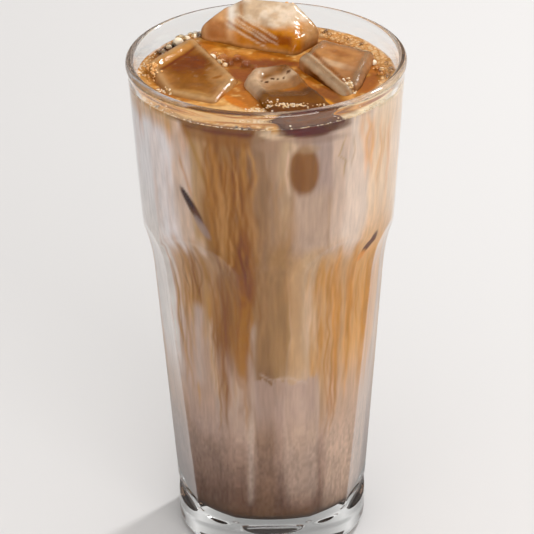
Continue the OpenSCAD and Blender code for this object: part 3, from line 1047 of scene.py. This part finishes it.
class Beads:
    """Balls gathered into one mesh, each with its own tint."""

    def __init__(self):
        self.verts = []
        self.faces = []
        self.tints = []
        self.count = 0

    def add(self, place, radius, tint, squash=1.0, detail=2, inward=False):
        verts, faces = ball(radius, detail)
        verts = verts * (1, 1, squash) + np.asarray(place)
        if inward:
            faces = [f[::-1] for f in faces]
        self.faces += [[i + self.count for i in f] for f in faces]
        self.verts.append(verts)
        self.tints.append(np.tile(linear(tint), (len(verts), 1)))
        self.count += len(verts)

    def bubble(self, place, radius, tint="fffaf2", film=0.05):
        """A hollow bubble: an outer skin and an inner one facing inwards."""
        detail = 3 if radius > 0.7 else 2
        self.add(place, radius, tint, detail=detail)
        self.add(place, radius * (1 - film), tint, detail=detail, inward=True)

    def make(self, name, material):
        obj = make_object(name, np.concatenate(self.verts), self.faces, [material])
        store_colour(obj, "tint", np.concatenate(self.tints))
        return obj


def polar(radius, azimuth_deg, z):
    a = math.radians(azimuth_deg)
    return (radius * math.sin(a), -radius * math.cos(a), z)


def surface_at(x, y):
    return LEVEL + float(surface_height(np.array([x]), np.array([y]))[0])


def on_ice(x, y):
    """Height of the ice or the drink at a place seen from above."""
    best = surface_at(x, y)
    for lump in lumps:
        hit, place, _, _ = lump.ray_cast(Vector((x, y, 200)) * MM, Vector((0, 0, -1)))
        if hit:
            best = max(best, place.z / MM)
    return best


def build_bubbles(material):
    beads = Beads()
    draw = np.random.default_rng(71)
    wall = inside_radius(LEVEL)
    # strings of bubbles along the wall
    for low, high, count, big in [(-152, -118, 16, 1.5), (-58, -30, 12, 0.75), (86, 104, 10, 1.2),
                                  (120, 165, 14, 0.8), (-16, 2, 14, 0.8), (40, 60, 6, 0.7)]:
        for _ in range(count):
            radius = draw.uniform(0.4, 1) * big
            azimuth = draw.uniform(low, high)
            place = polar(wall - radius * 0.8 - draw.uniform(0, 2.2), azimuth, 0)
            z = surface_at(place[0], place[1]) + radius * 0.25
            beads.bubble((place[0], place[1], z), radius)
    # named bubbles: large ones by the back left wall, in the middle gap, and two at the right
    for x, y, radius in [(-26.0, 26.5, 1.7), (-23.0, 29.6, 1.2), (-28.6, 23.2, 1.0), (-8.6, 12.4, 1.5),
                         (-6.0, 8.2, 1.5), (-3.2, 6.0, 1.1), (-10.6, 9.0, 0.9), (34.4, 0.5, 1.4),
                         (33.4, 4.0, 0.9)]:
        beads.bubble((x, y, surface_at(x, y) + 0.35 * radius), radius, "fff3dc", 0.04)
    for x, y, radius in [(-13.0, 11.0, 1.9), (-15.6, 15.0, 1.3)]:
        beads.bubble((x, y, surface_at(x, y) + 0.5 * radius), radius, "fff6e6", 0.04)
    return beads.make("bubbles", material)


def build_foam(material):
    beads = Beads()
    draw = np.random.default_rng(72)
    wall = inside_radius(LEVEL)

    def patch(x, y, spread_x, spread_y, turn, count, sizes, tints):
        c, s = math.cos(math.radians(turn)), math.sin(math.radians(turn))
        for i in range(count):
            u, v = draw.normal(0, 0.5) * spread_x, draw.normal(0, 0.5) * spread_y
            px, py = x + u * c - v * s, y + u * s + v * c
            if math.hypot(px, py) > wall - 0.5:
                continue
            radius = draw.uniform(*sizes)
            z = on_ice(px, py) + 0.15 * radius
            beads.add((px, py, z), radius, tints[i % len(tints)], 0.8, 1)

    def border(count, low, high, nearest, depth, sizes, tints, squash, detail):
        """Froth along the wall between two azimuths."""
        for _ in range(count):
            azimuth = draw.uniform(low, high)
            x, y, _ = polar(wall - nearest - abs(draw.normal(0, depth)), azimuth, 0)
            place = (x, y, on_ice(x, y))
            beads.add(place, draw.uniform(*sizes), tints[int(draw.integers(3))], squash, detail)

    cream = ["f1dfc4", "e6c79c", "d9ae76"]
    amber = ["e0a766", "d59a58", "edc48e"]
    patch(-34.0, 1.5, 2.4, 4.0, 20, 48, (0.25, 0.6), amber)
    patch(-31.0, -9.5, 3.0, 1.2, -40, 26, (0.2, 0.4), cream)
    patch(24.5, -9.5, 0.9, 4.0, 22, 40, (0.2, 0.5), cream)
    patch(-2.5, -25.0, 5.0, 3.0, 0, 150, (0.18, 0.42), cream)
    patch(8.0, -25.5, 6.0, 1.6, 0, 90, (0.18, 0.4), cream)
    for x, y, radius in [(-26.8, 24.6, 1.7), (-24.2, 27.6, 1.1), (-29.6, 21.8, 0.9), (-22.0, 29.8, 0.9),
                         (-31.2, 18.6, 0.7), (-27.0, 27.4, 0.8), (-16.4, 13.6, 1.3), (-14.2, 10.4, 1.0),
                         (-12.4, 8.4, 0.8), (-19.8, 31.8, 0.8), (32.4, 8.2, 1.0), (34.6, 3.2, 0.8)]:
        tint = cream[0] if radius > 0.85 else cream[1]
        beads.add((x, y, surface_at(x, y) + 0.45 * radius), radius, tint, 0.9, 3)
    border(430, 80, 170, 0.4, 2.0, (0.25, 0.6), amber, 0.45, 2)
    border(260, -180, 84, 0.3, 0.6, (0.18, 0.4), cream, 0.8, 1)
    return beads.make("foam", material)


# -------- camera, light and floor
CAMERA_TARGET = Vector((-0.61, 0, 88.8))
CAMERA_ELEVATION = 27.70   # degrees
CAMERA_ROLL = -0.81        # degrees
CAMERA_DISTANCE = 926
SENSOR = 36
LENS = 202.2
FLOOR_HALF = 1200
FLOOR_LINES = 12           # grid lines each way
FLOOR_GAP = 0.05           # keeps the floor just clear of the foot


def set_camera():
    elevation = math.radians(CAMERA_ELEVATION)
    roll = math.radians(CAMERA_ROLL)
    back = Vector((0, -math.cos(elevation), math.sin(elevation)))
    level_right = Vector((1, 0, 0))
    level_up = back.cross(level_right)
    right = math.cos(roll) * level_right + math.sin(roll) * level_up
    up = -math.sin(roll) * level_right + math.cos(roll) * level_up
    data = bpy.data.cameras.new("camera")
    data.sensor_width = SENSOR
    data.lens = LENS
    camera = bpy.data.objects.new("camera", data)
    turn = Matrix((right, up, back)).transposed().to_4x4()
    camera.matrix_world = Matrix.Translation((CAMERA_TARGET + back * CAMERA_DISTANCE) * MM) @ turn
    show(camera)
    bpy.context.scene.camera = camera


def softbox(name, place, aim, width, height, watts):
    data = bpy.data.lights.new(name, "AREA")
    data.shape = "RECTANGLE"
    data.size = width
    data.size_y = height
    data.energy = watts
    light = bpy.data.objects.new(name, data)
    light.location = place
    light.rotation_euler = (Vector(aim) - Vector(place)).to_track_quat("-Z", "Y").to_euler()
    show(light)


def set_world(strength, colour, shade):
    """Soft white studio, dimmer at the left, the right and behind, so that clear edges and
    wet surfaces keep their contrast."""
    world = bpy.data.worlds.new("studio")
    world.use_nodes = True
    tree = world.node_tree
    background = tree.nodes["Background"]
    settle(background, {"Color": colour})
    axes = node(tree, "ShaderNodeSeparateXYZ")
    across = node(tree, "ShaderNodeMath", operation="ABSOLUTE")
    away = node(tree, "ShaderNodeMath", operation="MAXIMUM")
    dim = node(tree, "ShaderNodeMapRange", interpolation_type="SMOOTHSTEP")
    settle(dim, {"From Min": 0.35, "From Max": 0.9, "To Min": strength, "To Max": strength * shade})
    tree.links.new(node(tree, "ShaderNodeTexCoord").outputs["Generated"], axes.inputs["Vector"])
    tree.links.new(axes.outputs["X"], across.inputs[0])
    tree.links.new(across.outputs["Value"], away.inputs[0])
    tree.links.new(axes.outputs["Y"], away.inputs[1])
    tree.links.new(away.outputs["Value"], dim.inputs["Value"])
    tree.links.new(dim.outputs["Result"], background.inputs["Strength"])
    bpy.context.scene.world = world


def build_floor():
    material, _, shader = new_material("floor_white")
    settle(shader, {"Base Color": (0.62, 0.607, 0.60, 1), "Roughness": 0.7})
    steps = FLOOR_LINES
    line = np.linspace(-FLOOR_HALF, FLOOR_HALF, steps)
    verts = [(x, y, -FLOOR_GAP) for y in line for x in line]
    faces = []
    for j in range(steps - 1):
        for i in range(steps - 1):
            a = j * steps + i
            faces.append((a, a + 1, a + steps + 1, a + steps))
    floor = make_object("floor", verts, faces, [material])


# -------- putting it together
ice_material = ice()
lumps = [build_lump(name, ice_material) for name in LUMPS]
glass = build_glass(clear_glass())
drink = build_drink(latte())
cut_out(drink, lumps)
drink.data.shade_smooth()
paint_drink(drink)
bubbles = build_bubbles(bubble_film())
foam = build_foam(foam_cream())

for piece, nodes, slot in [(glass, ["glass"], "glass"), (drink, ["latte"], "latte")]:
    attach(piece, BODY)
    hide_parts(*nodes)
for lump, name in zip(lumps, LUMPS):
    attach(lump, BODY)
    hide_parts(name)
for piece in (bubbles, foam):
    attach(piece, BODY)

build_floor()
set_camera()
set_world(strength=1.15, colour=(1, 0.985, 0.97, 1), shade=0.25)
softbox("key", (0.45, 0.60, 0.85), (0, 0, 0.12), width=0.09, height=0.09, watts=6)
softbox("fill", (0.35, -1.0, 0.35), (0, 0, 0.08), width=0.8, height=0.6, watts=9)
bpy.context.scene.view_settings.view_transform = "Standard"
